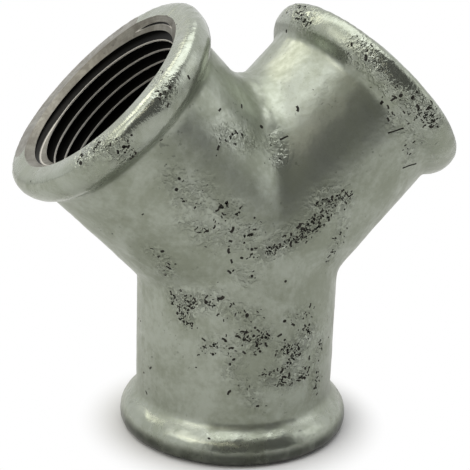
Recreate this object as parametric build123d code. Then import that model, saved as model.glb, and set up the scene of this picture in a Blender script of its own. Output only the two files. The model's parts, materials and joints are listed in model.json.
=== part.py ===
"""Equal wye pipe fitting: one malleable-iron casting with three female threaded ends.

A straight run leg stands on its own mouth and splits into two branch legs, one to each side.
Every leg is a round neck that ends in a rounded reinforcing band, and every mouth is countersunk
and bored for an internal parallel pipe thread. Behind the threads the cored waterway is wider,
so the wall stays even all the way through the junction.

Millimetres. The origin is the centre of the run leg's mouth face, +Z runs up the run leg's axis,
and the two branch legs lean towards -X and +X in the XZ plane.
"""

from build123d import *
import os
from math import radians, tan

# --- Legs ---
RUN_LENGTH = 40.0  # run mouth to the point where the three axes meet
BRANCH_LENGTH = 40.0  # that point to each branch mouth
BRANCH_ANGLE = 45.0  # lean of each branch axis from the run axis, in degrees

# --- Thread in each mouth: internal parallel pipe thread, nominal 1 inch, 11 to the inch ---
THREAD_MAJOR_DIAMETER = 33.249
THREAD_PITCH = 2.309
THREAD_DEPTH_PER_PITCH = 0.6403  # 55 degree form with rounded crests and roots
THREAD_LENGTH = 17.0  # from the mouth face to the last full turn
COUNTERSINK_MARGIN = 1.5  # how far past the thread's roots the countersink opens
COUNTERSINK_SLOPE = 50.0  # of the countersink from the leg's axis, in degrees

# --- Cored waterway behind the threads ---
CORE_CLEARANCE = 0.5  # how far the core clears the thread's roots, so that a tap runs out in it
SHOULDER_SLOPE = 45.0  # of the cone between thread and core from the leg's axis, in degrees

# --- Wall and the reinforcing band at each mouth ---
WALL_THICKNESS = 2.6  # of the necks and the junction
BAND_STAND_OUT = 2.7  # how far a branch's band stands proud of its neck
RUN_BAND_EXTRA = 0.6  # how much further the run's band stands out than a branch's
BAND_WIDTH = 7.1  # along the leg, from the mouth face to the foot of the back flank
BAND_BACK_SLOPE = 50.0  # of the back flank from the leg's axis, in degrees
BAND_NOSE_ROUND = 1.8  # from the crown over to the mouth face
BAND_CROWN_ROUND = 4.5  # from the crown to the back flank
BAND_FOOT_ROUND = 1.0  # from the back flank into the neck

# --- Blends outside, where the legs meet ---
CROTCH_ROUND = 6.0  # between the two branches
THROAT_ROUND = 4.0  # between the run and each branch

thread_root_radius = THREAD_MAJOR_DIAMETER / 2
bore_radius = thread_root_radius - THREAD_DEPTH_PER_PITCH * THREAD_PITCH
countersink_radius = thread_root_radius + COUNTERSINK_MARGIN
core_radius = thread_root_radius + CORE_CLEARANCE
neck_radius = core_radius + WALL_THICKNESS
band_radius = neck_radius + BAND_STAND_OUT


def cone_length(large_radius, small_radius, slope):
    """How far along the axis a cone of this slope takes between two radii."""
    return (large_radius - small_radius) / tan(radians(slope))


def leg_skin(length, band_radius):
    """The outside of one leg, from the junction at z = 0 up to the mouth face at z = length."""
    foot = (neck_radius, length - BAND_WIDTH)
    flank_length = cone_length(band_radius, neck_radius, BAND_BACK_SLOPE)
    crown = (band_radius, length - BAND_WIDTH + flank_length)
    nose = (band_radius, length)
    section = make_face(
        Polyline((0, 0), (neck_radius, 0), foot, crown, nose, (0, length), close=True)
    )
    for corner, radius in (
        (foot, BAND_FOOT_ROUND),
        (crown, BAND_CROWN_ROUND),
        (nose, BAND_NOSE_ROUND),
    ):
        nearest = section.vertices().sort_by_distance(corner)[0]
        section = fillet(nearest, radius)
    return revolve(Plane.XZ * section, Axis.Z)


def leg_waterway(length):
    """The inside of one leg: wide core, shoulder, threaded bore and countersunk mouth."""
    thread_end = length - THREAD_LENGTH
    core_end = thread_end - cone_length(core_radius, bore_radius, SHOULDER_SLOPE)
    bore_start = length - cone_length(countersink_radius, bore_radius, COUNTERSINK_SLOPE)
    section = make_face(
        Polyline(
            (0, 0),
            (core_radius, 0),
            (core_radius, core_end),
            (bore_radius, thread_end),
            (bore_radius, bore_start),
            (countersink_radius, length),
            (0, length),
            close=True,
        )
    )
    return revolve(Plane.XZ * section, Axis.Z)


def three_legs(run_leg, branch_leg):
    """The legs about the junction: the run straight down, a branch up and out to each side."""
    run = Rot(180, 0, 0) * run_leg
    left = Rot(0, -BRANCH_ANGLE, 0) * branch_leg
    right = Rot(0, BRANCH_ANGLE, 0) * branch_leg
    return Pos(0, 0, RUN_LENGTH) * (run + left + right)


def seams_between_legs(body, in_crotch):
    """The half ellipses where legs meet: in the crotch, or in the throats beside the run."""
    seams = body.edges().filter_by(GeomType.ELLIPSE)
    return [seam for seam in seams if (abs(seam.center().X) < 0.01) == in_crotch]


run_band_radius = band_radius + RUN_BAND_EXTRA
skin = three_legs(leg_skin(RUN_LENGTH, run_band_radius), leg_skin(BRANCH_LENGTH, band_radius))
skin = fillet(seams_between_legs(skin, in_crotch=True), CROTCH_ROUND)
skin = fillet(seams_between_legs(skin, in_crotch=False), THROAT_ROUND)
wye_casting = skin - three_legs(leg_waterway(RUN_LENGTH), leg_waterway(BRANCH_LENGTH))

os.makedirs("parts", exist_ok=True)
export_step(wye_casting, "parts/wye_casting.step")

box = wye_casting.bounding_box()
print(f"solids {len(wye_casting.solids())}, volume {wye_casting.volume / 1000:.2f} cm3")
print(f"size {box.size.X:.2f} x {box.size.Y:.2f} x {box.size.Z:.2f} mm, lowest {box.min.Z:.3f}")
print(f"bore radius {bore_radius:.3f}, neck radius {neck_radius:.3f}, band radius {band_radius:.3f}")
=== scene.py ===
# %% [markdown]
# # A galvanised wye pipe fitting
#
# The real thing starts as an iron casting: three short pipes that meet in a Y, with a rounded band
# at every mouth. It is dipped in molten zinc, and last of all each mouth is countersunk and
# tapped. This file makes it in the same order: a rough casting, then the cuts into it, then the
# finishes, and at the end a plain studio around it.

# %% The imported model, and a few helpers
import json
import math

import bmesh
import bpy
from mathutils import Matrix, Vector


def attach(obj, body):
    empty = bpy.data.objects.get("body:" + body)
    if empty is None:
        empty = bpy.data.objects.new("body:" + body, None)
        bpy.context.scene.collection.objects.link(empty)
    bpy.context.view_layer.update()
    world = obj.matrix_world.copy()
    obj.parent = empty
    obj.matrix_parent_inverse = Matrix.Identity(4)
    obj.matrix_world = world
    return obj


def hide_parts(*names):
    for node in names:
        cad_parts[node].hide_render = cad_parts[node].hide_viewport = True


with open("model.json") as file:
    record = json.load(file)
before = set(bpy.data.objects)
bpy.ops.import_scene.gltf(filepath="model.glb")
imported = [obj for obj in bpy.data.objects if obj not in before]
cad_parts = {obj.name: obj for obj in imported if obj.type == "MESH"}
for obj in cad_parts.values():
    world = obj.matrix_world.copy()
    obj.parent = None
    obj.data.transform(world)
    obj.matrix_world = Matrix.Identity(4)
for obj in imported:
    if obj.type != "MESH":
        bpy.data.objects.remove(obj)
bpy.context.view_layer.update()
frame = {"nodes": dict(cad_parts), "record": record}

MM = 0.001

# %% [markdown]
# ## Where the three legs are
#
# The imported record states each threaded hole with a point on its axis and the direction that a
# pipe would leave in. The mouth face is the furthest that the solid reaches along that direction.
# So every later cut can be made once, about the Z axis, and carried to a leg by one matrix.

# %% One frame for each leg: z = 0 at its mouth face, and +Z into the metal
cad_casting = frame["nodes"]["wye_casting"]
cad_points = [vertex.co.copy() for vertex in cad_casting.data.vertices]


def leg_frame(mount):
    """The matrix from a leg's own frame to the row frame."""
    outward = Vector(mount["axis"]).normalized()
    on_axis = Vector(mount["pos_m"])
    reach = max(point.dot(outward) for point in cad_points)
    mouth = on_axis + outward * (reach - on_axis.dot(outward))
    side = Vector((0, 1, 0))
    turned = Matrix((side.cross(-outward), side, -outward)).transposed().to_4x4()
    return Matrix.Translation(mouth) @ turned


holes = [mount for mount in frame["record"]["mounts"] if mount["kind"] == "threaded_hole"]
legs = {mount["name"]: leg_frame(mount) for mount in holes}
bore_radius = holes[0]["dims"]["r_mm"] * MM
for name, matrix in legs.items():
    print(name, "mouth at", [round(v / MM, 2) for v in matrix.translation], "mm")

# %% [markdown]
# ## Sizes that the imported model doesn't state
#
# The thread is a standard internal pipe thread of 11 turns to the inch. The solid only has its
# plain bore, so its pitch and its root radius are named here, with the countersink and the core.
# A tap that is new cuts a little deeper than the standard says, and this one does too.

# %% Sizes of the cuts
THREAD_PITCH = 2.309 * MM
MAJOR_DIAMETER_IN_MM = 33.249
NEW_TAP_EXTRA_IN_MM = 0.15
THREAD_ROOT_RADIUS = (MAJOR_DIAMETER_IN_MM / 2 + NEW_TAP_EXTRA_IN_MM) * MM
THREAD_LENGTH = 17.0 * MM
COUNTERSINK_RADIUS = 18.12 * MM
COUNTERSINK_SLOPE = math.radians(50)
CORE_RADIUS = 17.12 * MM
SHOULDER_LENGTH = CORE_RADIUS - bore_radius
leg_length = (legs["left_outlet"].translation.x ** 2 * 2) ** 0.5
countersink_depth = (COUNTERSINK_RADIUS - bore_radius) / math.tan(COUNTERSINK_SLOPE)
print(f"leg length {leg_length / MM:.2f} mm, countersink depth {countersink_depth / MM:.2f} mm")


# %% [markdown]
# ## Helpers for node trees
#
# Geometry nodes and shader nodes are wired in the same way. `node` makes one node and fills its
# sockets, with a value or with another node's output. `calc` and `vector` are the two maths nodes,
# and `ramp`, `bell`, `noise` and `swing` are the few shapes of number that every effect here is
# built from.

# %% Short ways to wire nodes
def node(tree, kind, inputs=None, **settings):
    """One new node. A value that is itself a socket is linked, and any other is set."""
    made = tree.nodes.new(kind)
    for name, value in settings.items():
        setattr(made, name, value)
    for name, value in (inputs or {}).items():
        if isinstance(value, bpy.types.NodeSocket):
            tree.links.new(value, made.inputs[name])
        else:
            made.inputs[name].default_value = value
    return made


def calc(tree, operation, *values):
    """One Math node and its result."""
    return node(tree, "ShaderNodeMath", dict(enumerate(values)), operation=operation).outputs[0]


def vector(tree, operation, *values):
    """One Vector Math node and its result, which is a number for a dot product or a length."""
    inputs = dict(enumerate(values))
    if operation == "SCALE":
        inputs = {0: values[0], "Scale": values[1]}
    made = node(tree, "ShaderNodeVectorMath", inputs, operation=operation)
    is_number = operation in ("DOT_PRODUCT", "LENGTH", "DISTANCE")
    return made.outputs["Value" if is_number else "Vector"]


def ramp(tree, value, start, end, low=0.0, high=1.0):
    """A smooth step from low to high while value goes from start to end."""
    inputs = {"Value": value, "From Min": start, "From Max": end, "To Min": low, "To Max": high}
    return node(tree, "ShaderNodeMapRange", inputs, interpolation_type="SMOOTHSTEP").outputs[0]


def bell(tree, value):
    """1 where the value is 0, falling smoothly to nearly 0 where it is 2 either way."""
    squared = calc(tree, "POWER", value, 2.0)
    return calc(tree, "EXPONENT", calc(tree, "MULTIPLY", squared, -1.0))


def noise(tree, place, scale, detail=2.0, roughness=0.5, distortion=0.0):
    """Noise of about 0 to 1 whose lumps are 1 / scale long."""
    inputs = {"Vector": place, "Scale": scale, "Detail": detail, "Roughness": roughness}
    inputs["Distortion"] = distortion
    return node(tree, "ShaderNodeTexNoise", inputs).outputs["Fac"]


def swing(tree, place, length):
    """Noise of about -0.5 to 0.5 whose lumps are this long."""
    return calc(tree, "SUBTRACT", noise(tree, place, calc(tree, "DIVIDE", 1.0, length)), 0.5)


# %% [markdown]
# A tree gets its named inputs and outputs from `new_tree`, and `end_tree` adds its last two nodes.
# `run_tree` puts it on an object as a modifier and fills in the inputs, and `settle` keeps the
# mesh that comes out and nothing else, so that every later step works on a plain mesh.

# %% Make a tree, run it and keep the mesh
def new_tree(name, kind, inputs, outputs):
    """A node group with named inputs {name: (type, default)} and outputs {name: type}."""
    tree = bpy.data.node_groups.new(name, kind)
    for socket_name, (socket_type, default) in inputs.items():
        socket = tree.interface.new_socket(socket_name, in_out="INPUT", socket_type=socket_type)
        if default is not None:
            socket.default_value = default
    for socket_name, socket_type in outputs.items():
        tree.interface.new_socket(socket_name, in_out="OUTPUT", socket_type=socket_type)
    print(f"{name} takes {', '.join(inputs)}")
    return tree, tree.nodes.new("NodeGroupInput").outputs, tree.nodes.new("NodeGroupOutput").inputs


def end_tree(tree, geometry, material, result):
    """The end of a geometry tree: instances made real, in a material, and handed out."""
    real = node(tree, "GeometryNodeRealizeInstances", {0: geometry})
    inputs = {"Geometry": real.outputs[0], "Material": material}
    dressed = node(tree, "GeometryNodeSetMaterial", inputs)
    tree.links.new(dressed.outputs[0], result)


FLOAT = "NodeSocketFloat"
LENGTH = "NodeSocketFloat"
INTEGER = "NodeSocketInt"
COLOR = "NodeSocketColor"
OBJECT = "NodeSocketObject"
GEOMETRY = "NodeSocketGeometry"
MATERIAL = "NodeSocketMaterial"
GEOMETRY_TREE = "GeometryNodeTree"
SHADER_TREE = "ShaderNodeTree"


def add_object(name, mesh):
    """A new object for a mesh, at the origin."""
    made = bpy.data.objects.new(name, mesh)
    bpy.context.scene.collection.objects.link(made)
    return made


def settle(made):
    """Turns an object with its modifiers into a plain mesh and takes the modifiers off."""
    graph = bpy.context.evaluated_depsgraph_get()
    mesh = bpy.data.meshes.new_from_object(made.evaluated_get(graph), depsgraph=graph)
    made.modifiers.clear()
    made.data = mesh
    return made


def run_tree(made, tree, **values):
    """Adds a geometry tree to an object as a modifier, sets its inputs and settles it."""
    modifier = made.modifiers.new(tree.name, "NODES")
    modifier.node_group = tree
    for socket in tree.interface.items_tree:
        key = socket.name.lower().replace(" ", "_")
        if socket.in_out == "INPUT" and key in values:
            modifier[socket.identifier] = values.pop(key)
    assert not values, f"{tree.name} has no input for {sorted(values)}"
    return settle(made)


# %% [markdown]
# ## The rough casting
#
# The solid's outer skin is copied and its three mouths are closed, as on a casting before any
# machining. A voxel remesh then gives even faces all over, which the long thin triangles of a CAD
# solid are not, and a little smoothing takes the voxels' steps away again. Even faces are what
# the next step needs, because it moves every point a little.

# %% Copy the outer skin and close its mouths
AT_THE_MOUTH = 0.01 * MM
INTO_THE_WALL = 0.25 * MM


def is_inside(place):
    """True for a point on the waterway, the bores or the countersinks."""
    for matrix in legs.values():
        local = matrix.inverted() @ place
        radius = math.hypot(local.x, local.y)
        if local.z < AT_THE_MOUTH or local.z > leg_length:
            continue
        cone = COUNTERSINK_RADIUS - local.z * math.tan(COUNTERSINK_SLOPE)
        if radius < max(cone, CORE_RADIUS) + INTO_THE_WALL:
            return True
    return False


bm = bmesh.new()
bm.from_mesh(cad_casting.data)
bmesh.ops.remove_doubles(bm, verts=bm.verts, dist=0.002 * MM)
inner = [face for face in bm.faces if is_inside(face.calc_center_median())]
bmesh.ops.delete(bm, geom=inner, context="FACES")
rims = [edge for edge in bm.edges if len(edge.link_faces) == 1]
bmesh.ops.holes_fill(bm, edges=rims, sides=0)
print(f"{len(inner)} inner faces taken away, {len(rims)} rim edges closed")

# %% Even out its faces
VOXEL = 0.68 * MM
SMOOTHING_STEPS = 5
casting = add_object("galvanised_wye_casting", bpy.data.meshes.new("rough_casting"))
bm.to_mesh(casting.data)
bm.free()
remesh = casting.modifiers.new("Even faces", "REMESH")
remesh.mode = "VOXEL"
remesh.voxel_size = VOXEL
smooth = casting.modifiers.new("No steps", "SMOOTH")
smooth.factor = 0.5
smooth.iterations = SMOOTHING_STEPS
settle(casting)
print(f"rough casting: {len(casting.data.polygons)} faces")

# %% [markdown]
# ## Where the gas gathered
#
# Gas in the iron leaves small pits, and the zinc doesn't fill them. They come in swarms along
# the last places to set: beside the creases, across the run and on the bands. The swarms are
# drawn here as a few lines on the skin, in mm, crowded ones and sparse ones. Later steps roughen
# the skin near these lines and scatter the pits along them.

# %% Lines on the skin
CROWDED = (
    ((-4.2, -19.6, 41.1), (-0.1, -19.6, 42.7), (4.2, -19.7, 44.4)),
    ((4.2, -19.7, 44.4), (8.1, -19.7, 47.5), (12.2, -19.6, 49.6)),
    ((6.7, -19.7, 47.6), (8.0, -19.7, 50.1), (10.0, -19.7, 50.3)),
    ((-16.9, -10.1, 31.2), (-14.1, -13.8, 31.6), (-13.1, -14.7, 31.0)),
    ((-15.8, -11.8, 29.9), (-15.4, -12.3, 27.8)),
    ((-6.1, -18.7, 25.0), (-4.6, -19.2, 23.6), (-3.2, -19.4, 25.0)),
    ((0.7, -19.7, 21.7), (4.6, -19.2, 23.3), (7.3, -18.3, 24.2)),
    ((5.4, -19.0, 21.5), (2.1, -19.6, 18.2)),
    ((-1.6, -19.7, 16.8), (2.7, -19.5, 15.7), (5.5, -18.9, 16.2)),
    ((-36.1, -17.7, 60.5), (-33.9, -18.8, 62.2), (-30.9, -21.4, 61.4)),
    ((11.7, 4.0, 82.8), (10.6, -2.7, 82.0), (10.2, -4.8, 80.7)),
    ((22.0, -21.4, 68.3), (28.8, -22.1, 63.8)),
    ((-3.0, 19.6, 42.0), (4.0, 19.6, 44.5), (11.0, 19.6, 49.0)),
    ((14.0, 13.5, 30.0), (11.0, 16.3, 24.0)),
    ((-30.0, 21.0, 62.5), (-26.0, 21.9, 66.0)),
)
SPARSE = (
    ((-21.6, -19.3, 56.0), (-20.2, -19.2, 53.8), (-15.5, -19.7, 53.3)),
    ((-20.1, -18.9, 52.0), (-15.2, -19.4, 50.5), (-10.4, -19.7, 49.5)),
    ((-18.8, -18.2, 48.0), (-14.6, -18.8, 46.2), (-12.0, -19.3, 46.1), (-6.2, -19.7, 45.1)),
    ((-15.6, -18.2, 44.9), (-10.7, -19.1, 43.8), (-6.4, -19.6, 43.1)),
    ((-22.2, -13.2, 41.5), (-20.1, -13.1, 39.2), (-19.3, -11.6, 36.8)),
    ((-7.8, -18.3, 37.6), (-6.7, -18.6, 36.9)),
    ((-12.0, -15.9, 33.2), (-10.4, -16.8, 30.6), (-5.2, -19.0, 28.9)),
    ((-12.6, -15.1, 23.0), (-9.7, -17.1, 23.5)),
    ((-7.9, -18.1, 21.1), (-9.0, -17.6, 17.9)),
    ((2.5, -19.6, 28.1), (6.0, -18.8, 27.8)),
    ((10.1, -16.9, 21.7), (8.7, -17.7, 17.1), (9.6, -17.2, 12.0)),
    ((-6.3, -18.7, 15.5), (-4.2, -19.3, 12.2)),
    ((12.3, -19.1, 45.5), (11.2, -17.7, 39.0)),
    ((22.2, -19.7, 64.4), (26.6, -19.2, 60.0), (25.8, -18.5, 56.1)),
    ((-11.3, -17.9, 62.9), (-6.0, -16.7, 60.9)),
    ((-23.7, -17.8, 72.8), (-23.6, -21.8, 70.9)),
    ((14.9, -15.5, 77.8), (19.4, -19.9, 70.0)),
    ((-0.8, -15.0, 59.7), (-0.3, -15.8, 58.0)),
    ((-14.0, 19.6, 55.0), (-7.0, 19.7, 50.0)),
    ((24.0, 19.4, 62.0), (18.0, 19.7, 52.0)),
    ((-9.0, 17.5, 20.0), (2.0, 19.7, 15.0)),
)


def drawn(name, lines):
    """An object of bare edges along some lines given in mm."""
    bm = bmesh.new()
    for line in lines:
        ends = [bm.verts.new(Vector(point) * MM) for point in line]
        for pair in zip(ends, ends[1:]):
            bm.edges.new(pair)
    mesh = bpy.data.meshes.new(name)
    bm.to_mesh(mesh)
    bm.free()
    return add_object(name, mesh)


crowded = drawn("crowded", CROWDED)
sparse = drawn("sparse", SPARSE)
print(len(CROWDED), "crowded lines and", len(SPARSE), "sparse ones")


# %% How near a point is to some lines
def near_lines(tree, lines, place, width):
    """In a geometry tree: 1 on the lines of an object, falling to 0 a few widths away."""
    guide = node(tree, "GeometryNodeObjectInfo", {"Object": lines}).outputs["Geometry"]
    near = node(tree, "GeometryNodeProximity", {"Geometry": guide}, target_element="EDGES")
    return bell(tree, calc(tree, "DIVIDE", near.outputs["Distance"], width))


# %% [markdown]
# ## Sand, seam and zinc
#
# No casting is true. The sand mould leaves slow waves and small lumps, its two halves leave a
# faint seam in the plane between them, and the zinc pools in the crease between the branches.
# This is one rule for every point of the surface, so it is a geometry tree: each effect is a
# height, and the point moves by their sum along its normal.

# %% The inputs of a cast surface
SEAM_BREAKS_PER_METRE = 160.0
BEAD_BREAKS_PER_METRE = 280.0
BEAD_WIDTH = 0.8 * MM
BEAD_STARTS = 56 * MM
BEAD_FULL = 60 * MM
tree, given, result = new_tree(
    "Cast surface",
    GEOMETRY_TREE,
    {
        "Casting": (GEOMETRY, None),
        "Wave height": (LENGTH, 0.12 * MM),
        "Wave length": (LENGTH, 9 * MM),
        "Lump height": (LENGTH, 0.07 * MM),
        "Lump length": (LENGTH, 2.2 * MM),
        "Seam height": (LENGTH, 0.12 * MM),
        "Seam width": (LENGTH, 0.45 * MM),
        "Crease bead": (LENGTH, 0.22 * MM),
        "Crowded": (OBJECT, None),
        "Sparse": (OBJECT, None),
        "Swarm width": (LENGTH, 1.9 * MM),
        "Blister height": (LENGTH, 0.16 * MM),
        "Blister length": (LENGTH, 1.1 * MM),
        "Material": (MATERIAL, None),
    },
    {"Casting": GEOMETRY},
)
place = node(tree, "GeometryNodeInputPosition").outputs[0]
split = node(tree, "ShaderNodeSeparateXYZ", {0: place}).outputs

# %% Waves, lumps, seam and bead
wave_height = calc(tree, "MULTIPLY", given["Wave height"], 2.0)
lump_height = calc(tree, "MULTIPLY", given["Lump height"], 2.0)
wave = calc(tree, "MULTIPLY", swing(tree, place, given["Wave length"]), wave_height)
lump = calc(tree, "MULTIPLY", swing(tree, place, given["Lump length"]), lump_height)
on_plane = bell(tree, calc(tree, "DIVIDE", split["Y"], given["Seam width"]))
broken = ramp(tree, noise(tree, place, SEAM_BREAKS_PER_METRE), 0.4, 0.6)
seam = calc(tree, "MULTIPLY", calc(tree, "MULTIPLY", on_plane, broken), given["Seam height"])
in_crease = bell(tree, calc(tree, "DIVIDE", split["X"], BEAD_WIDTH))
above_run = ramp(tree, split["Z"], BEAD_STARTS, BEAD_FULL)
beaded = ramp(tree, noise(tree, place, BEAD_BREAKS_PER_METRE), 0.35, 0.6)
beaded = calc(tree, "MULTIPLY", beaded, above_run)
bead = calc(tree, "MULTIPLY", calc(tree, "MULTIPLY", in_crease, beaded), given["Crease bead"])
print("waves, lumps, seam and bead:", len(tree.nodes), "nodes")

# %% Blisters near the lines, and the sum of it all
SPARSE_SHARE = 0.5
sparsely = near_lines(tree, given["Sparse"], place, given["Swarm width"])
swarm = near_lines(tree, given["Crowded"], place, given["Swarm width"])
swarm = calc(tree, "MAXIMUM", swarm, calc(tree, "MULTIPLY", sparsely, SPARSE_SHARE))
blister = calc(tree, "MULTIPLY", swing(tree, place, given["Blister length"]), swarm)
blister = calc(tree, "MULTIPLY", blister, calc(tree, "MULTIPLY", given["Blister height"], 2.0))
height = calc(tree, "ADD", calc(tree, "ADD", wave, lump), seam)
height = calc(tree, "ADD", calc(tree, "ADD", height, bead), blister)
normal = node(tree, "GeometryNodeInputNormal").outputs[0]
moved = node(
    tree,
    "GeometryNodeSetPosition",
    {"Geometry": given["Casting"], "Offset": vector(tree, "SCALE", normal, height)},
)
stored = node(
    tree,
    "GeometryNodeStoreNamedAttribute",
    {"Geometry": moved.outputs[0], "Name": "pitted"},
    data_type="FLOAT",
    domain="POINT",
)
tree.links.new(swarm, stored.inputs["Value"])
end_tree(tree, stored.outputs[0], given["Material"], result["Casting"])
cast_surface = tree

# %% Run it on the rough casting
zinc = bpy.data.materials.new("dull_galvanised_zinc")
run_tree(casting, cast_surface, crowded=crowded, sparse=sparse, material=zinc)
print(f"cast surface on {len(casting.data.vertices)} points")

# %% [markdown]
# ## The cutting tools
#
# A tap is a cylinder with one ridge wound round it. The ridge is a thread-shaped section swept
# along a helix, which is what Curve to Mesh does, so the tree can make a tap for any pitch. It
# starts outside the mouth and runs on into the wider core behind, and so the cut thread fades in
# over the countersink and out at the far end as a real one does.

# %% The inputs of a tap, and its helix
FLANK = math.radians(27.5)
CREST_FLAT = 0.26 * MM
RIDGE_SUNK = 0.15 * MM
tree, given, result = new_tree(
    "Tap",
    GEOMETRY_TREE,
    {
        "Bore radius": (LENGTH, 15 * MM),
        "Root radius": (LENGTH, 16.6 * MM),
        "Pitch": (LENGTH, 2.3 * MM),
        "Length": (LENGTH, 24 * MM),
        "Steps per turn": (INTEGER, 72),
        "Crest flat": (LENGTH, 0.4 * MM),
        "Material": (MATERIAL, None),
    },
    {"Tap": GEOMETRY},
)
helix = node(
    tree,
    "GeometryNodeCurveSpiral",
    {
        "Resolution": given["Steps per turn"],
        "Rotations": calc(tree, "DIVIDE", given["Length"], given["Pitch"]),
        "Start Radius": given["Bore radius"],
        "End Radius": given["Bore radius"],
        "Height": given["Length"],
        "Reverse": True,
    },
)
upright = node(tree, "GeometryNodeSetCurveNormal", {"Curve": helix.outputs[0]}, mode="Z_UP")

# %% The ridge's section, sunk a little into the cylinder so that the two overlap
depth = calc(tree, "SUBTRACT", given["Root radius"], given["Bore radius"])
half_base = calc(tree, "MULTIPLY", calc(tree, "SUBTRACT", given["Pitch"], given["Crest flat"]), 0.5)
half_tip = calc(tree, "SUBTRACT", half_base, calc(tree, "MULTIPLY", depth, math.tan(FLANK)))
half_sunk = calc(tree, "ADD", half_base, RIDGE_SUNK * math.tan(FLANK))


def section_point(radial, axial, side):
    """One corner of the ridge's section: radial is outwards, along the curve's normal."""
    axial = calc(tree, "MULTIPLY", axial, side)
    return node(tree, "ShaderNodeCombineXYZ", {"X": radial, "Y": axial}).outputs[0]


section = node(
    tree,
    "GeometryNodeCurvePrimitiveQuadrilateral",
    {
        "Point 1": section_point(-RIDGE_SUNK, half_sunk, -1.0),
        "Point 2": section_point(depth, half_tip, -1.0),
        "Point 3": section_point(depth, half_tip, 1.0),
        "Point 4": section_point(-RIDGE_SUNK, half_sunk, 1.0),
    },
    mode="POINTS",
)
print(f"ridge: flanks of {math.degrees(FLANK)} degrees, flat of {CREST_FLAT / MM:.2f} mm")

# %% Sweep the section along the helix, and join it to the cylinder
ridge = node(
    tree,
    "GeometryNodeCurveToMesh",
    {"Curve": upright.outputs[0], "Profile Curve": section.outputs[0], "Fill Caps": True},
)
drill = node(
    tree,
    "GeometryNodeMeshCylinder",
    {
        "Vertices": given["Steps per turn"],
        "Radius": given["Bore radius"],
        "Depth": given["Length"],
    },
)
lifted = node(tree, "ShaderNodeCombineXYZ", {"Z": calc(tree, "MULTIPLY", given["Length"], 0.5)})
drill = node(
    tree,
    "GeometryNodeTransform",
    {"Geometry": drill.outputs[0], "Translation": lifted.outputs[0]},
)
both = node(tree, "GeometryNodeMeshBoolean", operation="UNION", solver="MANIFOLD")
for part in (ridge, drill):
    tree.links.new(part.outputs[0], both.inputs["Mesh 2"])
end_tree(tree, both.outputs[0], given["Material"], result["Tap"])
tap_tree = tree
print("tap:", len(tree.nodes), "nodes")

# %% [markdown]
# The drilled hole, its shoulder and the countersink are all solids of revolution, so one lathe
# makes them: it spins a list of radii and depths about the leg's axis. The two cuts overlap by a
# little, and each brings its own material, which a Boolean can carry over to the faces it cuts.

# %% A lathe for the other tools, and a way to cut with them
SEGMENTS = 144
SAME_POINT = 0.001 * MM
turned_metal = bpy.data.materials.new("turned_iron")
thread_metal = bpy.data.materials.new("cut_thread")
cored_metal = bpy.data.materials.new("cored_waterway")


def turned(name, profile, material):
    """A closed tool, spun about Z from (radius, depth) points between two points on the axis."""
    bm = bmesh.new()
    line = [bm.verts.new((radius, 0, depth)) for radius, depth in profile]
    edges = [bm.edges.new(pair) for pair in zip(line, line[1:])]
    whole_turn = {"angle": math.tau, "steps": SEGMENTS, "cent": (0, 0, 0), "axis": (0, 0, 1)}
    bmesh.ops.spin(bm, geom=line + edges, use_duplicate=False, **whole_turn)
    bmesh.ops.remove_doubles(bm, verts=bm.verts, dist=SAME_POINT)
    bmesh.ops.recalc_face_normals(bm, faces=bm.faces)
    mesh = bpy.data.meshes.new(name)
    bm.to_mesh(mesh)
    bm.free()
    mesh.materials.append(material)
    return mesh


def cut(piece, tool_mesh, matrix=None):
    """Takes a tool's shape out of the piece. The new faces keep the tool's material."""
    tool = add_object("tool", tool_mesh.copy())
    if matrix:
        tool.data.transform(matrix)
    boolean = piece.modifiers.new("Cut", "BOOLEAN")
    boolean.operation = "DIFFERENCE"
    boolean.solver = "MANIFOLD"
    boolean.material_mode = "TRANSFER"
    boolean.object = tool
    settle(piece)
    bpy.data.objects.remove(tool)


# %% [markdown]
# On the real thing a sand core leaves the wide waterway, and the drill comes through to it with a
# cone. Here each core also ends in a dome, so that the three meet without a ledge. The countersink
# is a plain cone that starts a little outside the mouth.

# %% The core and the countersink
OVERLAP = 0.2 * MM
FLARE = 1 * MM
DOME_STEPS = 8
core_profile = [
    (0, THREAD_LENGTH),
    (bore_radius - OVERLAP, THREAD_LENGTH - OVERLAP),
    (CORE_RADIUS, THREAD_LENGTH + SHOULDER_LENGTH),
    (CORE_RADIUS, leg_length),
]
for step in range(1, DOME_STEPS + 1):
    angle = math.radians(90) * step / DOME_STEPS
    core_profile.append((CORE_RADIUS * math.cos(angle), leg_length + CORE_RADIUS * math.sin(angle)))
core_tool = turned("core", core_profile, cored_metal)
cone_end = countersink_depth + OVERLAP / math.tan(COUNTERSINK_SLOPE)
countersink_profile = [
    (0, -FLARE),
    (COUNTERSINK_RADIUS + FLARE * math.tan(COUNTERSINK_SLOPE), -FLARE),
    (bore_radius - OVERLAP, cone_end),
    (0, cone_end),
]
countersink_tool = turned("countersink", countersink_profile, turned_metal)
print("core:", len(core_tool.polygons), "faces; countersink:", len(countersink_tool.polygons))

# %% The tap
TAP_RUNS_ON = 3 * MM
tap_length = THREAD_LENGTH + SHOULDER_LENGTH + TAP_RUNS_ON
tap = add_object("tap", bpy.data.meshes.new("blank"))
run_tree(
    tap,
    tap_tree,
    bore_radius=bore_radius,
    root_radius=THREAD_ROOT_RADIUS,
    pitch=THREAD_PITCH,
    length=tap_length,
    steps_per_turn=90,
    crest_flat=CREST_FLAT,
    material=thread_metal,
)
print(f"tap: {tap_length / MM:.1f} mm long, {len(tap.data.polygons)} faces")

# %% [markdown]
# The left mouth was faced a little out of square: the lathe took more off one side of its rim than
# off the other, which leaves a bare flat, wide on that side and fading out on the other. So the
# facing tool is a disc that lies outside the mouth, tipped a few degrees and pushed in slightly.

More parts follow.
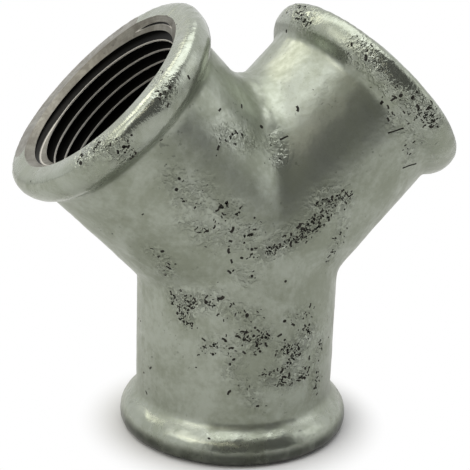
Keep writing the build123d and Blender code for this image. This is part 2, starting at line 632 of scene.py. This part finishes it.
# %% The facing tool
FACING_TILT = math.radians(2.6)
FACING_TOWARD = math.radians(85)
FACING_LIFT = 0.42 * MM
BAND_REACH = 24 * MM
facing_profile = [(0, -FLARE * 3), (BAND_REACH, -FLARE * 3), (BAND_REACH, 0), (0, 0)]
facing_tool = turned("facing", facing_profile, turned_metal)
tilt_axis = Vector((-math.sin(FACING_TOWARD), math.cos(FACING_TOWARD), 0))
facing_set = Matrix.Translation((0, 0, -FACING_LIFT)) @ Matrix.Rotation(-FACING_TILT, 4, tilt_axis)
print(f"facing tilts by {math.degrees(FACING_TILT):.1f} degrees")

# %% [markdown]
# In the same mouth a tool slipped and left a thin dark arc on the countersink. A ring with a round
# section touches the cone along such an arc when its centre is off the leg's axis, so the mark is
# cut with a ring, and where it ends comes from the geometry and not from a drawing.

# %% The ring that leaves the slip mark
SLIP_DEPTH = 0.86 * MM
SLIP_AT = math.radians(168)
SLIP_RADIUS = 14.1 * MM
SLIP_THICKNESS = 0.22 * MM
RING_SIDES = 8
cone_radius_there = COUNTERSINK_RADIUS - SLIP_DEPTH * math.tan(COUNTERSINK_SLOPE)
slip_off_axis = cone_radius_there - SLIP_RADIUS
slip_profile = []
for step in range(RING_SIDES + 1):
    angle = math.tau * step / RING_SIDES
    across = SLIP_RADIUS + SLIP_THICKNESS * math.cos(angle)
    slip_profile.append((across, SLIP_THICKNESS * math.sin(angle)))
slip_tool = turned("slip", slip_profile, thread_metal)
slip_centre = Vector((math.cos(SLIP_AT), math.sin(SLIP_AT), 0)) * slip_off_axis
slip_set = Matrix.Translation(slip_centre + Vector((0, 0, SLIP_DEPTH)))
print(f"slip ring: {slip_off_axis / MM:.2f} mm off the axis")

# %% [markdown]
# Now every leg is cut in the order of the real work: the core first, then the countersink, then
# the facing and the slip on the left leg alone, and the thread last of all. A tap can start
# anywhere round the mouth. The angle at which it first touches the cone is given for each leg,
# and its start is worked back from that.

# %% Cut the three mouths
OUTSIDE = 3 * MM
FIRST_TOUCH_DEPTH = 1.1 * MM
FIRST_TOUCH_AT = {"run_inlet": 40, "left_outlet": -7, "right_outlet": 250}
turns_by_then = (FIRST_TOUCH_DEPTH + OUTSIDE) / THREAD_PITCH
for name, matrix in legs.items():
    phase = math.radians(FIRST_TOUCH_AT[name]) - math.tau * turns_by_then
    started = Matrix.Translation((0, 0, -OUTSIDE)) @ Matrix.Rotation(phase, 4, "Z")
    cut(casting, core_tool, matrix)
    cut(casting, countersink_tool, matrix)
    if name == "left_outlet":
        cut(casting, facing_tool, matrix @ facing_set)
        cut(casting, slip_tool, matrix @ slip_set)
    cut(casting, tap.data, matrix @ started)
    print(name, "cut:", len(casting.data.polygons), "faces in the casting")
bpy.data.objects.remove(tap)

# %% [markdown]
# ## Pits
#
# Each pit is a small dent or a short curled channel, no two alike. Drawing hundreds by hand would
# be dull and would look drawn, so a geometry tree scatters a few simple shapes: closer together
# near the lines drawn before, in clumps, each with its own turn and size, more small than large.
# What it scatters is a cutting tool, and a Boolean takes the pits out of the casting.

# %% Where the pits lie: near the lines, in clumps, on the cast skin only
CLUMPS_PER_METRE = 420.0
tree, given, result = new_tree(
    "Blowholes",
    GEOMETRY_TREE,
    {
        "Casting": (GEOMETRY, None),
        "Swarms": (OBJECT, None),
        "Swarm width": (LENGTH, 1.5 * MM),
        "Pits per square metre": (FLOAT, 3.0e6),
        "Stray pits": (FLOAT, 6000.0),
        "Smallest": (LENGTH, 0.12 * MM),
        "Largest": (LENGTH, 0.42 * MM),
        "Seed": (INTEGER, 4),
        "Material": (MATERIAL, None),
    },
    {"Blowholes": GEOMETRY},
)
place = node(tree, "GeometryNodeInputPosition").outputs[0]
swarm = near_lines(tree, given["Swarms"], place, given["Swarm width"])
clumps = ramp(tree, noise(tree, place, CLUMPS_PER_METRE, detail=1.0), 0.49, 0.6)
near = calc(tree, "MULTIPLY", swarm, clumps)
density = calc(tree, "MULTIPLY", near, given["Pits per square metre"])
density = calc(tree, "ADD", density, given["Stray pits"])
material_index = node(tree, "GeometryNodeInputMaterialIndex").outputs[0]
is_skin = calc(tree, "LESS_THAN", material_index, 0.5)
scattered = node(
    tree,
    "GeometryNodeDistributePointsOnFaces",
    {
        "Mesh": given["Casting"],
        "Selection": is_skin,
        "Density": density,
        "Seed": given["Seed"],
    },
)

# %% The shapes of a pit, about 1 across: a dent, a curled channel and a straighter one
dent = node(tree, "GeometryNodeMeshUVSphere", {"Radius": 1.0, "Segments": 8, "Rings": 5})
shapes = [dent]
for sweep, bend, thickness in ((95.0, 1.9, 0.75), (30.0, 4.0, 0.6)):
    inputs = {"Resolution": 5, "Radius": bend, "Sweep Angle": math.radians(sweep)}
    bent = node(tree, "GeometryNodeCurveArc", inputs, mode="RADIUS")
    wire = node(tree, "GeometryNodeCurvePrimitiveCircle", {"Resolution": 5, "Radius": thickness})
    tube = node(
        tree,
        "GeometryNodeCurveToMesh",
        {"Curve": bent.outputs[0], "Profile Curve": wire.outputs[0], "Fill Caps": True},
    )
    inputs = {"Geometry": tube.outputs[0], "Translation": Vector((-bend, 0, 0))}
    shapes.append(node(tree, "GeometryNodeTransform", inputs))
choices = node(tree, "GeometryNodeJoinGeometry")
for shape in reversed(shapes):
    wrapped = node(tree, "GeometryNodeGeometryToInstance", {0: shape.outputs[0]})
    tree.links.new(wrapped.outputs[0], choices.inputs[0])
print(len(shapes), "shapes of pit")


# %% A random number for each pit
def random_number(low, high, offset):
    """A random number for every point, with its own offset to the tree's seed."""
    inputs = {"Min": low, "Max": high, "Seed": calc(tree, "ADD", given["Seed"], offset)}
    made = node(tree, "FunctionNodeRandomValue", data_type="FLOAT")
    for name, value in inputs.items():
        socket = [s for s in made.inputs if s.name == name and s.enabled][0]
        if isinstance(value, bpy.types.NodeSocket):
            tree.links.new(value, socket)
        else:
            socket.default_value = value
    return [s for s in made.outputs if s.enabled][0]


# %% A shape and a turn for each pit
pick = calc(tree, "FLOOR", random_number(0.0, len(shapes) - 0.01, 11))
spin = node(
    tree,
    "FunctionNodeAxisAngleToRotation",
    {"Axis": (0, 0, 1), "Angle": random_number(0.0, math.tau, 12)},
)
facing = node(
    tree,
    "FunctionNodeRotateRotation",
    {"Rotation": scattered.outputs["Rotation"], "Rotate By": spin.outputs[0]},
    rotation_space="LOCAL",
)

# %% A size for each pit, more small than large, and the pits in their places
MOSTLY_SMALL = 1.8
NARROWEST = 0.6
WIDEST = 1.3
DEPTH_SHARE = 0.8
chance = calc(tree, "POWER", random_number(0.0, 1.0, 13), MOSTLY_SMALL)
size_range = calc(tree, "SUBTRACT", given["Largest"], given["Smallest"])
size = calc(tree, "MULTIPLY_ADD", chance, size_range, given["Smallest"])
flattened = node(
    tree,
    "ShaderNodeCombineXYZ",
    {
        "X": size,
        "Y": calc(tree, "MULTIPLY", size, random_number(NARROWEST, WIDEST, 14)),
        "Z": calc(tree, "MULTIPLY", size, DEPTH_SHARE),
    },
)
placed = node(
    tree,
    "GeometryNodeInstanceOnPoints",
    {
        "Points": scattered.outputs["Points"],
        "Instance": choices.outputs[0],
        "Pick Instance": True,
        "Instance Index": pick,
        "Rotation": facing.outputs[0],
        "Scale": flattened.outputs[0],
    },
)
end_tree(tree, placed.outputs[0], given["Material"], result["Blowholes"])
blowhole_tree = tree
print("blowholes:", len(tree.nodes), "nodes")

# %% Scatter them on a copy of the casting, and cut them out
pit_metal = bpy.data.materials.new("black_pits")
skin_before = casting.data.copy()
many = {"pits_per_square_metre": 7.0e6, "swarm_width": 1.3 * MM, "seed": 4}
few = {"pits_per_square_metre": 1.8e6, "swarm_width": 1.6 * MM, "stray_pits": 0.0, "seed": 9}
for lines, amounts in ((crowded, many), (sparse, few)):
    pits = add_object("pits", skin_before.copy())
    run_tree(pits, blowhole_tree, swarms=lines, material=pit_metal, **amounts)
    print(f"{lines.name} pits: {len(pits.data.polygons)} faces")
    cut(casting, pits.data)
    bpy.data.objects.remove(pits)

# %% [markdown]
# A fitting that has rolled about in a bin has a few scratches and nicks too. Each is a thin round
# wire that follows a drawn line and is moved onto the nearest skin, so that it is half sunk in it
# all along. The wires are cut out as the pits are.

# %% Lines of the scratches
SCRATCHES = (
    ((20.2, -19.7, 61.7), (21.9, -19.7, 62.1), (23.5, -19.7, 62.5)),
    ((24.9, -18.3, 54.6), (26.7, -17.9, 54.9), (28.6, -17.2, 55.0)),
    ((0.9, -14.6, 60.4), (1.7, -14.6, 60.8), (2.5, -14.7, 61.1)),
    ((12.0, -19.7, 51.3), (12.9, -19.6, 50.3), (13.8, -19.6, 50.8)),
    ((24.2, -19.5, 59.0), (24.6, -19.4, 59.3)),
    ((25.8, -18.8, 57.1), (26.2, -18.7, 57.5)),
    ((26.0, -19.3, 59.5), (26.5, -19.1, 59.9)),
    ((23.8, -20.4, 63.2), (24.2, -20.4, 63.6)),
    ((9.0, 19.6, 52.0), (12.0, 19.7, 54.5)),
)
print(len(SCRATCHES), "scratches and nicks")

# %% The tree that lays a wire along each
SCRATCH_WIDTH = 0.34 * MM
tree, given, result = new_tree(
    "Scratches",
    GEOMETRY_TREE,
    {
        "Lines": (GEOMETRY, None),
        "Skin": (OBJECT, None),
        "Width": (LENGTH, 0.2 * MM),
        "Material": (MATERIAL, None),
    },
    {"Scratches": GEOMETRY},
)
paths = node(tree, "GeometryNodeMeshToCurve", {"Mesh": given["Lines"]})
paths = node(tree, "GeometryNodeResampleCurve", {"Curve": paths.outputs[0], "Count": 12})
skin = node(tree, "GeometryNodeObjectInfo", {"Object": given["Skin"]}).outputs["Geometry"]
on_skin = node(tree, "GeometryNodeProximity", {"Geometry": skin}, target_element="FACES")
paths = node(
    tree,
    "GeometryNodeSetPosition",
    {"Geometry": paths.outputs[0], "Position": on_skin.outputs["Position"]},
)
thick = calc(tree, "MULTIPLY", given["Width"], 0.5)
round_wire = node(tree, "GeometryNodeCurvePrimitiveCircle", {"Resolution": 6, "Radius": thick})
wires = node(
    tree,
    "GeometryNodeCurveToMesh",
    {"Curve": paths.outputs[0], "Profile Curve": round_wire.outputs[0], "Fill Caps": True},
)
end_tree(tree, wires.outputs[0], given["Material"], result["Scratches"])

# %% Cut them, and put the drawings away
scratches = drawn("scratches", SCRATCHES)
run_tree(scratches, tree, skin=casting, width=SCRATCH_WIDTH, material=pit_metal)
print(f"scratches: {len(scratches.data.polygons)} faces")
cut(casting, scratches.data)
for drawing in (crowded, sparse, scratches):
    bpy.data.objects.remove(drawing)

# %% [markdown]
# A few pits lie wholly under the skin and leave small closed bubbles that nobody can see. They
# are islands in the mesh: a walk along the edges finds every island, and only the big one stays.

# %% Drop the buried bubbles
bm = bmesh.new()
bm.from_mesh(casting.data)
unseen = set(bm.verts)
islands = []
while unseen:
    to_visit = [unseen.pop()]
    island = list(to_visit)
    while to_visit:
        here = to_visit.pop()
        for edge in here.link_edges:
            there = edge.other_vert(here)
            if there in unseen:
                unseen.remove(there)
                to_visit.append(there)
                island.append(there)
    islands.append(island)
islands.sort(key=len)
for island in islands[:-1]:
    bmesh.ops.delete(bm, geom=island, context="VERTS")
open_edges = sum(not edge.is_manifold for edge in bm.edges)
print(f"dropped {len(islands) - 1} buried bubbles, {len(bm.verts)} points left")
print(f"edges that don't have two faces: {open_edges}")
bm.to_mesh(casting.data)
bm.free()

# %% [markdown]
# ## Where each point is on its leg
#
# The machined faces need to know how deep they are in their leg and how far they are from its
# axis. That is stored once, as a vector on every point, in mm in the nearest leg's own frame.

# %% Store the leg coordinates, and shade smooth between crisp edges
SHARP_ANGLE = math.radians(35)
own_place = casting.data.attributes.new("leg_place", "FLOAT_VECTOR", "POINT")
back_to_leg = [matrix.inverted() for matrix in legs.values()]
for vertex, stored in zip(casting.data.vertices, own_place.data):
    nearest = min((matrix @ vertex.co for matrix in back_to_leg), key=lambda local: local.z)
    stored.vector = nearest / MM
casting.data.shade_smooth()
casting.data.set_sharp_from_angle(angle=SHARP_ANGLE)
casting.data.calc_loop_triangles()
print(f"casting: {len(casting.data.loop_triangles)} triangles")
print("materials:", [material.name for material in casting.data.materials])
print("attributes:", [stored.name for stored in casting.data.attributes])

# %% [markdown]
# ## Finishes
#
# Two effects are wanted by more than one metal, so each is a node group that gives back only
# colours, measures and heights: the cloudy mottling, and the rings that a turning tool leaves.
# The mottling could be painted by hand, but noise of two sizes gives clouds and grain at once, and
# it never repeats. Every metal then has its own Principled shader.

# %% Mottling
FINE_PER_METRE = 900.0
SPECKS_PER_METRE = 1300.0
SPECKLED_AREAS_PER_METRE = 170.0
WORN_BY = 0.12
tree, given, result = new_tree(
    "Mottling",
    SHADER_TREE,
    {
        "Light": (COLOR, (0.362, 0.388, 0.332, 1)),
        "Dark": (COLOR, (0.266, 0.288, 0.228, 1)),
        "Patch size mm": (FLOAT, 9.0),
        "Specks": (FLOAT, 0.35),
        "Roughness": (FLOAT, 0.36),
    },
    {"Color": COLOR, "Roughness": FLOAT},
)
place = node(tree, "ShaderNodeTexCoord").outputs["Object"]
broad = noise(tree, place, calc(tree, "DIVIDE", 1 / MM, given["Patch size mm"]), 4.0, 0.6, 0.6)
fine = noise(tree, place, FINE_PER_METRE, 3.0, 0.6)
blend = calc(tree, "ADD", calc(tree, "MULTIPLY", broad, 0.7), calc(tree, "MULTIPLY", fine, 0.3))
blend = ramp(tree, blend, 0.36, 0.66)
color = node(tree, "ShaderNodeMix", data_type="RGBA")
tree.links.new(blend, color.inputs["Factor"])
tree.links.new(given["Dark"], color.inputs[6])
tree.links.new(given["Light"], color.inputs[7])
speck = ramp(tree, noise(tree, place, SPECKS_PER_METRE), 0.62, 0.74)
speckled_area = ramp(tree, noise(tree, place, SPECKLED_AREAS_PER_METRE), 0.5, 0.62)
speck = calc(tree, "MULTIPLY", speck, speckled_area)
kept = calc(tree, "SUBTRACT", 1.0, calc(tree, "MULTIPLY", speck, given["Specks"]))
speckled = vector(tree, "SCALE", color.outputs[2], kept)
tree.links.new(speckled, result["Color"])
worn = calc(tree, "MULTIPLY", calc(tree, "SUBTRACT", 0.5, blend), WORN_BY)
tree.links.new(calc(tree, "ADD", given["Roughness"], worn), result["Roughness"])
mottling = tree
print("mottling:", len(tree.nodes), "nodes")

# %% Turning rings
tree, given, result = new_tree(
    "Turning rings",
    SHADER_TREE,
    {"Rings per mm": (FLOAT, 3.0), "Wander": (FLOAT, 0.06)},
    {"Height": FLOAT, "Radius mm": FLOAT, "Depth mm": FLOAT},
)
local = node(tree, "ShaderNodeAttribute", attribute_name="leg_place").outputs["Vector"]
split = node(tree, "ShaderNodeSeparateXYZ", {0: local}).outputs
flat = node(tree, "ShaderNodeCombineXYZ", {"X": split["X"], "Y": split["Y"]}).outputs[0]
radius = vector(tree, "LENGTH", flat)
along = calc(tree, "ADD", radius, calc(tree, "MULTIPLY", noise(tree, local, 0.35), given["Wander"]))
angle = calc(tree, "MULTIPLY", calc(tree, "MULTIPLY", along, given["Rings per mm"]), math.tau)
tree.links.new(calc(tree, "MULTIPLY_ADD", calc(tree, "SINE", angle), 0.5, 0.5), result["Height"])
tree.links.new(radius, result["Radius mm"])
tree.links.new(split["Z"], result["Depth mm"])
turning_rings = tree
print("turning rings:", len(tree.nodes), "nodes")


# %% Short ways to use a group, a bump and a Principled shader
def group(tree, shared, **values):
    """A node that uses a shared group, with its inputs set by name."""
    made = node(tree, "ShaderNodeGroup", node_tree=shared)
    for name, value in values.items():
        socket = made.inputs[name.replace("_", " ")]
        if isinstance(value, bpy.types.NodeSocket):
            tree.links.new(value, socket)
        else:
            socket.default_value = value
    return made.outputs


def bump(tree, height, distance, strength=1.0, under=None):
    """A Bump node that reads a height of 0 to 1 as 0 to a distance in metres."""
    made = node(tree, "ShaderNodeBump", {"Height": height, "Distance": distance, "Strength": strength})
    if under is not None:
        tree.links.new(under, made.inputs["Normal"])
    return made.outputs[0]


def principled(material, **values):
    """Clears a material's nodes and gives it one Principled shader with these inputs."""
    material.use_nodes = True
    tree = material.node_tree
    tree.nodes.clear()
    shader = node(tree, "ShaderNodeBsdfPrincipled")
    output = node(tree, "ShaderNodeOutputMaterial")
    tree.links.new(shader.outputs[0], output.inputs[0])
    for name, value in values.items():
        shader.inputs[name.replace("_", " ")].default_value = value
    return tree, shader


# %% [markdown]
# ## Dull zinc
#
# Galvanised zinc starts bright and goes dull and greenish grey. The lowest few millimetres are painted
# darker, a painted shade that stands for the dark floor which the foot reflects. The pitted swarms are
# rusty and dark, the tops of their scab are painted paler as a painted highlight, and the bands, which
# rub on things most, stay a little smoother. The bumps are laid one on another, from the finest grain
# to the scab, because each Bump node takes the one before as its normal. Most of the pattern follows
# the object's own coordinates. The file strokes on a band's nose follow the leg's instead, with the
# direction round the mouth stretched, so that the strokes run across the nose.

# %% Zinc: colour and roughness
FOOT_SHADE_SHARE = 0.75
GRAIN_PER_METRE = 1400.0
SCAB_PER_METRE = 1400.0
RUST_SHARE = 0.38
SCAB_PAINTED_HIGHLIGHT = -0.6
BAND_SHINE = 0.12
tree, shader = principled(zinc, Metallic=0.85)
skin = group(tree, mottling)
place = node(tree, "ShaderNodeTexCoord").outputs["Object"]
pitted = node(tree, "ShaderNodeAttribute", attribute_name="pitted").outputs["Fac"]
height_above_floor = node(tree, "ShaderNodeSeparateXYZ", {0: place}).outputs["Z"]
# Painted shade: the lowest 2.2 to 4 mm are darkened, standing for the dark floor that the foot
# reflects.
painted_foot_shade = ramp(tree, height_above_floor, 4.0 * MM, 2.2 * MM, 0.0, FOOT_SHADE_SHARE)
foot_shade_breakup = ramp(tree, noise(tree, place, 300.0, 3.0), 0.3, 0.6, 0.7, 1.0)
painted_foot_shade = calc(tree, "MULTIPLY", painted_foot_shade, foot_shade_breakup)
# The pitted swarms are rusty and dark, and the tops of the scab bumps are painted paler: a painted
# highlight.
scab = ramp(tree, noise(tree, place, SCAB_PER_METRE), 0.38, 0.64)
rust_and_scab_highlight = calc(tree, "MULTIPLY_ADD", scab, SCAB_PAINTED_HIGHLIGHT, RUST_SHARE)
rust_and_scab_highlight = calc(tree, "MULTIPLY", pitted, rust_and_scab_highlight)
shade = calc(tree, "MULTIPLY", calc(tree, "SUBTRACT", 1.0, painted_foot_shade), calc(tree, "SUBTRACT", 1.0, rust_and_scab_highlight))
tree.links.new(vector(tree, "SCALE", skin["Color"], shade), shader.inputs["Base Color"])
ring = group(tree, turning_rings)
on_band = ramp(tree, ring["Depth mm"], 7.5, 5.5)
shine = calc(tree, "MULTIPLY", on_band, BAND_SHINE)
tree.links.new(calc(tree, "SUBTRACT", skin["Roughness"], shine), shader.inputs["Roughness"])

# %% Zinc: grain, orange peel, scab and file strokes
STROKES_ROUND = 55.0
grain = bump(tree, noise(tree, place, GRAIN_PER_METRE, 3.0, 0.6), 0.04 * MM, 0.7)
orange_peel = bump(tree, noise(tree, place, 260.0), 0.10 * MM, 0.8, under=grain)
scabby = bump(tree, calc(tree, "MULTIPLY", scab, pitted), 0.26 * MM, 1.0, under=orange_peel)
local = node(tree, "ShaderNodeAttribute", attribute_name="leg_place").outputs["Vector"]
split = node(tree, "ShaderNodeSeparateXYZ", {0: local}).outputs
around = node(tree, "ShaderNodeCombineXYZ", {"X": split["X"], "Y": split["Y"]}).outputs[0]
around = vector(tree, "SCALE", vector(tree, "NORMALIZE", around), STROKES_ROUND)
along = node(tree, "ShaderNodeCombineXYZ", {"Z": split["Z"]}).outputs[0]
strokes = ramp(tree, noise(tree, vector(tree, "ADD", around, along), 1.0), 0.35, 0.65)
on_nose = ramp(tree, ring["Depth mm"], 4.0, 1.5)
filed = bump(tree, calc(tree, "MULTIPLY", strokes, on_nose), 0.014 * MM, 1.0, under=scabby)
tree.links.new(filed, shader.inputs["Normal"])
print("zinc:", len(tree.nodes), "nodes")

# %% [markdown]
# ## Cut iron
#
# Zinc is turned away where the countersink and the facing were cut, and bare iron shows: browner,
# stained, with the fine rings of the tool. The thread's grooves are painted near-black, partly oil
# and partly painted shade down in the grooves, and its flat crests are painted pale, partly bare iron
# and partly a painted highlight, so its colour is chosen by how far a point is from the leg's axis.
# The first turns run out in the countersink, where a crest is whatever lies just under the cone.

# %% Turned iron
tree, shader = principled(turned_metal, Metallic=0.6)
stained = {"Light": (0.235, 0.228, 0.19, 1), "Dark": (0.145, 0.135, 0.11, 1)}
stain = group(tree, mottling, Patch_size_mm=3.5, **stained)
tree.links.new(stain["Color"], shader.inputs["Base Color"])
tree.links.new(stain["Roughness"], shader.inputs["Roughness"])
rings = group(tree, turning_rings)
tree.links.new(bump(tree, rings["Height"], 0.012 * MM), shader.inputs["Normal"])
print("turned iron:", len(tree.nodes), "nodes")

# %% Cut thread
CREST_FULL = 0.04
CREST_GONE = 0.16
tree, shader = principled(thread_metal, Metallic=0.2, Roughness=0.4, Specular_IOR_Level=0.05)
rings = group(tree, turning_rings, Rings_per_mm=0.0)
bore_in_mm = bore_radius / MM
# Painted shade and highlight: near-black towards the groove roots, pale at the crests, by distance
# from the axis.
crest = ramp(tree, rings["Radius mm"], bore_in_mm + CREST_GONE, bore_in_mm + CREST_FULL)
cone_inputs = (rings["Depth mm"], -math.tan(COUNTERSINK_SLOPE), COUNTERSINK_RADIUS / MM)
cone = calc(tree, "MULTIPLY_ADD", *cone_inputs)
under_cone = calc(tree, "SUBTRACT", rings["Radius mm"], cone)
crest = calc(tree, "MAXIMUM", crest, ramp(tree, under_cone, CREST_GONE, CREST_FULL))
color = node(tree, "ShaderNodeMix", data_type="RGBA")
tree.links.new(crest, color.inputs["Factor"])
color.inputs[6].default_value = (0.008, 0.008, 0.007, 1)
color.inputs[7].default_value = (0.62, 0.60, 0.54, 1)
tree.links.new(color.outputs[2], shader.inputs["Base Color"])
print("cut thread:", len(tree.nodes), "nodes")

# %% [markdown]
# The cored waterway and the pits were never machined and see little light. The waterway is painted
# near-black, partly rough dark iron and partly painted shade deep inside the fitting, and the pits are
# a little lighter rough dark iron, so each needs a colour and no pattern.

# %% Cored iron and pits
# Painted shade: the waterway's near-black stands partly for the shade deep inside the fitting.
principled(cored_metal, Base_Color=(0.03, 0.029, 0.026, 1), Metallic=0.3, Roughness=0.75)
principled(pit_metal, Base_Color=(0.04, 0.037, 0.03, 1), Metallic=0.2, Roughness=0.8)
print("metals:", [material.name for material in casting.data.materials])

# %% [markdown]
# ## A plain studio
#
# Bare metal shows the room more than its own colour. This room is a plain white one, and a white
# floor carries on to its horizon. In front of the fitting a tall grey card stands for the dark
# side of the room and puts a soft dark band into the zinc. The floor keeps the fitting's shadow
# near its foot, and further out it turns to plain white for the camera.

# %% Floor
FLOOR_SHADOW_REACH = 21 * MM
FLOOR_WHITE_FROM = 32 * MM
bm = bmesh.new()
bmesh.ops.create_grid(bm, x_segments=1, y_segments=1, size=5.0)
floor_mesh = bpy.data.meshes.new("floor")
bm.to_mesh(floor_mesh)
bm.free()
floor = add_object("studio_floor", floor_mesh)
floor_paint = bpy.data.materials.new("white_floor")
floor_mesh.materials.append(floor_paint)
floor_values = {"Base_Color": (0.93, 0.93, 0.93, 1), "Roughness": 0.9, "Specular_IOR_Level": 0.0}
tree, shader = principled(floor_paint, **floor_values)
place = node(tree, "ShaderNodeTexCoord").outputs["Object"]
away = vector(tree, "LENGTH", place)
seen = node(tree, "ShaderNodeLightPath").outputs["Is Camera Ray"]
whiter = calc(tree, "MULTIPLY", ramp(tree, away, FLOOR_SHADOW_REACH, FLOOR_WHITE_FROM), seen)
paper = node(tree, "ShaderNodeEmission", {"Color": (1, 1, 1, 1), "Strength": 1.0})
either = node(tree, "ShaderNodeMixShader", {0: whiter, 1: shader.outputs[0], 2: paper.outputs[0]})
output = [found for found in tree.nodes if found.type == "OUTPUT_MATERIAL"][0]
tree.links.new(either.outputs[0], output.inputs[0])
print("floor is plain white from", round(FLOOR_WHITE_FROM / MM), "mm out")

# %% World
ROOM_LIGHT = 0.45
world = bpy.data.worlds.new("studio")
bpy.context.scene.world = world
world.use_nodes = True
tree = world.node_tree
tree.nodes.clear()
rays = node(tree, "ShaderNodeLightPath").outputs
seen = calc(tree, "MAXIMUM", rays["Is Camera Ray"], rays["Is Glossy Ray"])
seen = calc(tree, "MAXIMUM", seen, rays["Is Transmission Ray"])
room = node(tree, "ShaderNodeBackground", {"Color": (1, 1, 1, 1), "Strength": ROOM_LIGHT})
white = node(tree, "ShaderNodeBackground", {"Color": (1, 1, 1, 1), "Strength": 1.0})
either = node(tree, "ShaderNodeMixShader", {0: seen, 1: room.outputs[0], 2: white.outputs[0]})
node(tree, "ShaderNodeOutputWorld", {0: either.outputs[0]})
print("room light:", ROOM_LIGHT)

# %% [markdown]
# One broad lamp hangs overhead and gives most of the light. Three more, behind to the left, at the
# left and at the right, give the shoulders their shine, and a thin warm strip draws a long bright
# line on the rounded band. A lamp's place is given as a turn, a rise and a distance from the
# fitting's middle, because that is how a lamp is moved round a table.

# %% Lamps
MIDDLE = Vector((0, 0, 45 * MM))


def from_centre(turn, rise, distance):
    """A place around the fitting: turn is from the front towards +X, rise is above the level."""
    turn, rise = math.radians(turn), math.radians(rise)
    flat = math.cos(rise)
    away = Vector((math.sin(turn) * flat, -math.cos(turn) * flat, math.sin(rise)))
    return MIDDLE + away * distance


def aimed(made, place):
    """Puts a lamp at a place, facing the fitting."""
    made.location = place
    made.rotation_euler = (MIDDLE - place).to_track_quat("-Z", "Y").to_euler()
    return made


def lamp(name, place, size, watts, color=(1, 1, 1)):
    """A square area lamp."""
    light = bpy.data.lights.new(name, "AREA")
    light.shape = "SQUARE"
    light.size = size
    light.energy = watts
    light.color = color
    made = bpy.data.objects.new(name, light)
    bpy.context.scene.collection.objects.link(made)
    return aimed(made, place)


lamp("lamp_overhead", from_centre(0, 90, 1.0), 1.0, 6.0)
lamp("lamp_behind_left", from_centre(-142, 45, 0.9), 0.4, 1.3, (1.0, 0.95, 0.82))
lamp("lamp_left", from_centre(-78, 38, 0.9), 0.5, 0.8, (1.0, 0.97, 0.9))
lamp("lamp_right", from_centre(68, 26, 0.9), 0.4, 0.3)
strip = lamp("lamp_warm_strip", from_centre(-48, 38, 0.9), 0.9, 0.45, (1.0, 0.93, 0.78))
strip.data.shape = "RECTANGLE"
strip.data.size_y = 0.05
print("lamps:", [light.name for light in bpy.data.lights])

# %% The grey card
CARD_WIDTH = 1.8
CARD_HEIGHT = 1.5
CARD_FOOT = 0.01
CARD_AWAY = 0.9
card_paint = bpy.data.materials.new("grey_card")
principled(card_paint, Base_Color=(0.10, 0.10, 0.10, 1), Roughness=1.0)
bm = bmesh.new()
half = CARD_WIDTH / 2
corners = [(-half, CARD_FOOT), (half, CARD_FOOT), (half, CARD_HEIGHT), (-half, CARD_HEIGHT)]
bm.faces.new([bm.verts.new((across, -CARD_AWAY, up)) for across, up in corners])
card_mesh = bpy.data.meshes.new("card")
bm.to_mesh(card_mesh)
bm.free()
card_mesh.materials.append(card_paint)
card = add_object("studio_card", card_mesh)
card.visible_camera = False
card.visible_shadow = False
print(f"card: {CARD_WIDTH} m wide, {CARD_AWAY} m in front")

# %% [markdown]
# ## Camera, and handing the piece over
#
# The camera is a long lens a little above the height of the fitting, turned slightly to the left
# of it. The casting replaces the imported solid, and rides on the row's one body.

# %% Camera
CAMERA_TURN = math.radians(-24.7)
CAMERA_RISE = math.radians(15.4)
CAMERA_ROLL = math.radians(1.92)
CAMERA_DISTANCE = 205.3 * MM
AIM_BELOW = 3.14 * MM
AIM_LEFT = 0.69 * MM
LENS = 80.4
SENSOR_WIDTH = 36
target = Vector((0, 0, 42 * MM))
level = math.cos(CAMERA_RISE)
toward_camera = Vector(
    (math.sin(CAMERA_TURN) * level, -math.cos(CAMERA_TURN) * level, math.sin(CAMERA_RISE))
)
flat_right = Vector((math.cos(CAMERA_TURN), math.sin(CAMERA_TURN), 0))
flat_up = toward_camera.cross(flat_right)
right = flat_right * math.cos(CAMERA_ROLL) + flat_up * math.sin(CAMERA_ROLL)
up = toward_camera.cross(right)
place = target + toward_camera * CAMERA_DISTANCE
backward = (place - (target - up * AIM_BELOW - right * AIM_LEFT)).normalized()
right = up.cross(backward).normalized()
up = backward.cross(right)
camera_data = bpy.data.cameras.new("camera")
camera_data.lens = LENS
camera_data.sensor_width = SENSOR_WIDTH
camera = bpy.data.objects.new("camera", camera_data)
bpy.context.scene.collection.objects.link(camera)
camera.matrix_world = Matrix.Translation(place) @ Matrix((right, up, backward)).transposed().to_4x4()
bpy.context.scene.camera = camera
bpy.context.scene.view_settings.view_transform = "Standard"
print(f"camera: {LENS} mm lens, {CAMERA_DISTANCE / MM:.0f} mm away")

# %% The piece takes the solid's place
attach(casting, "root")
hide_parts("wye_casting")
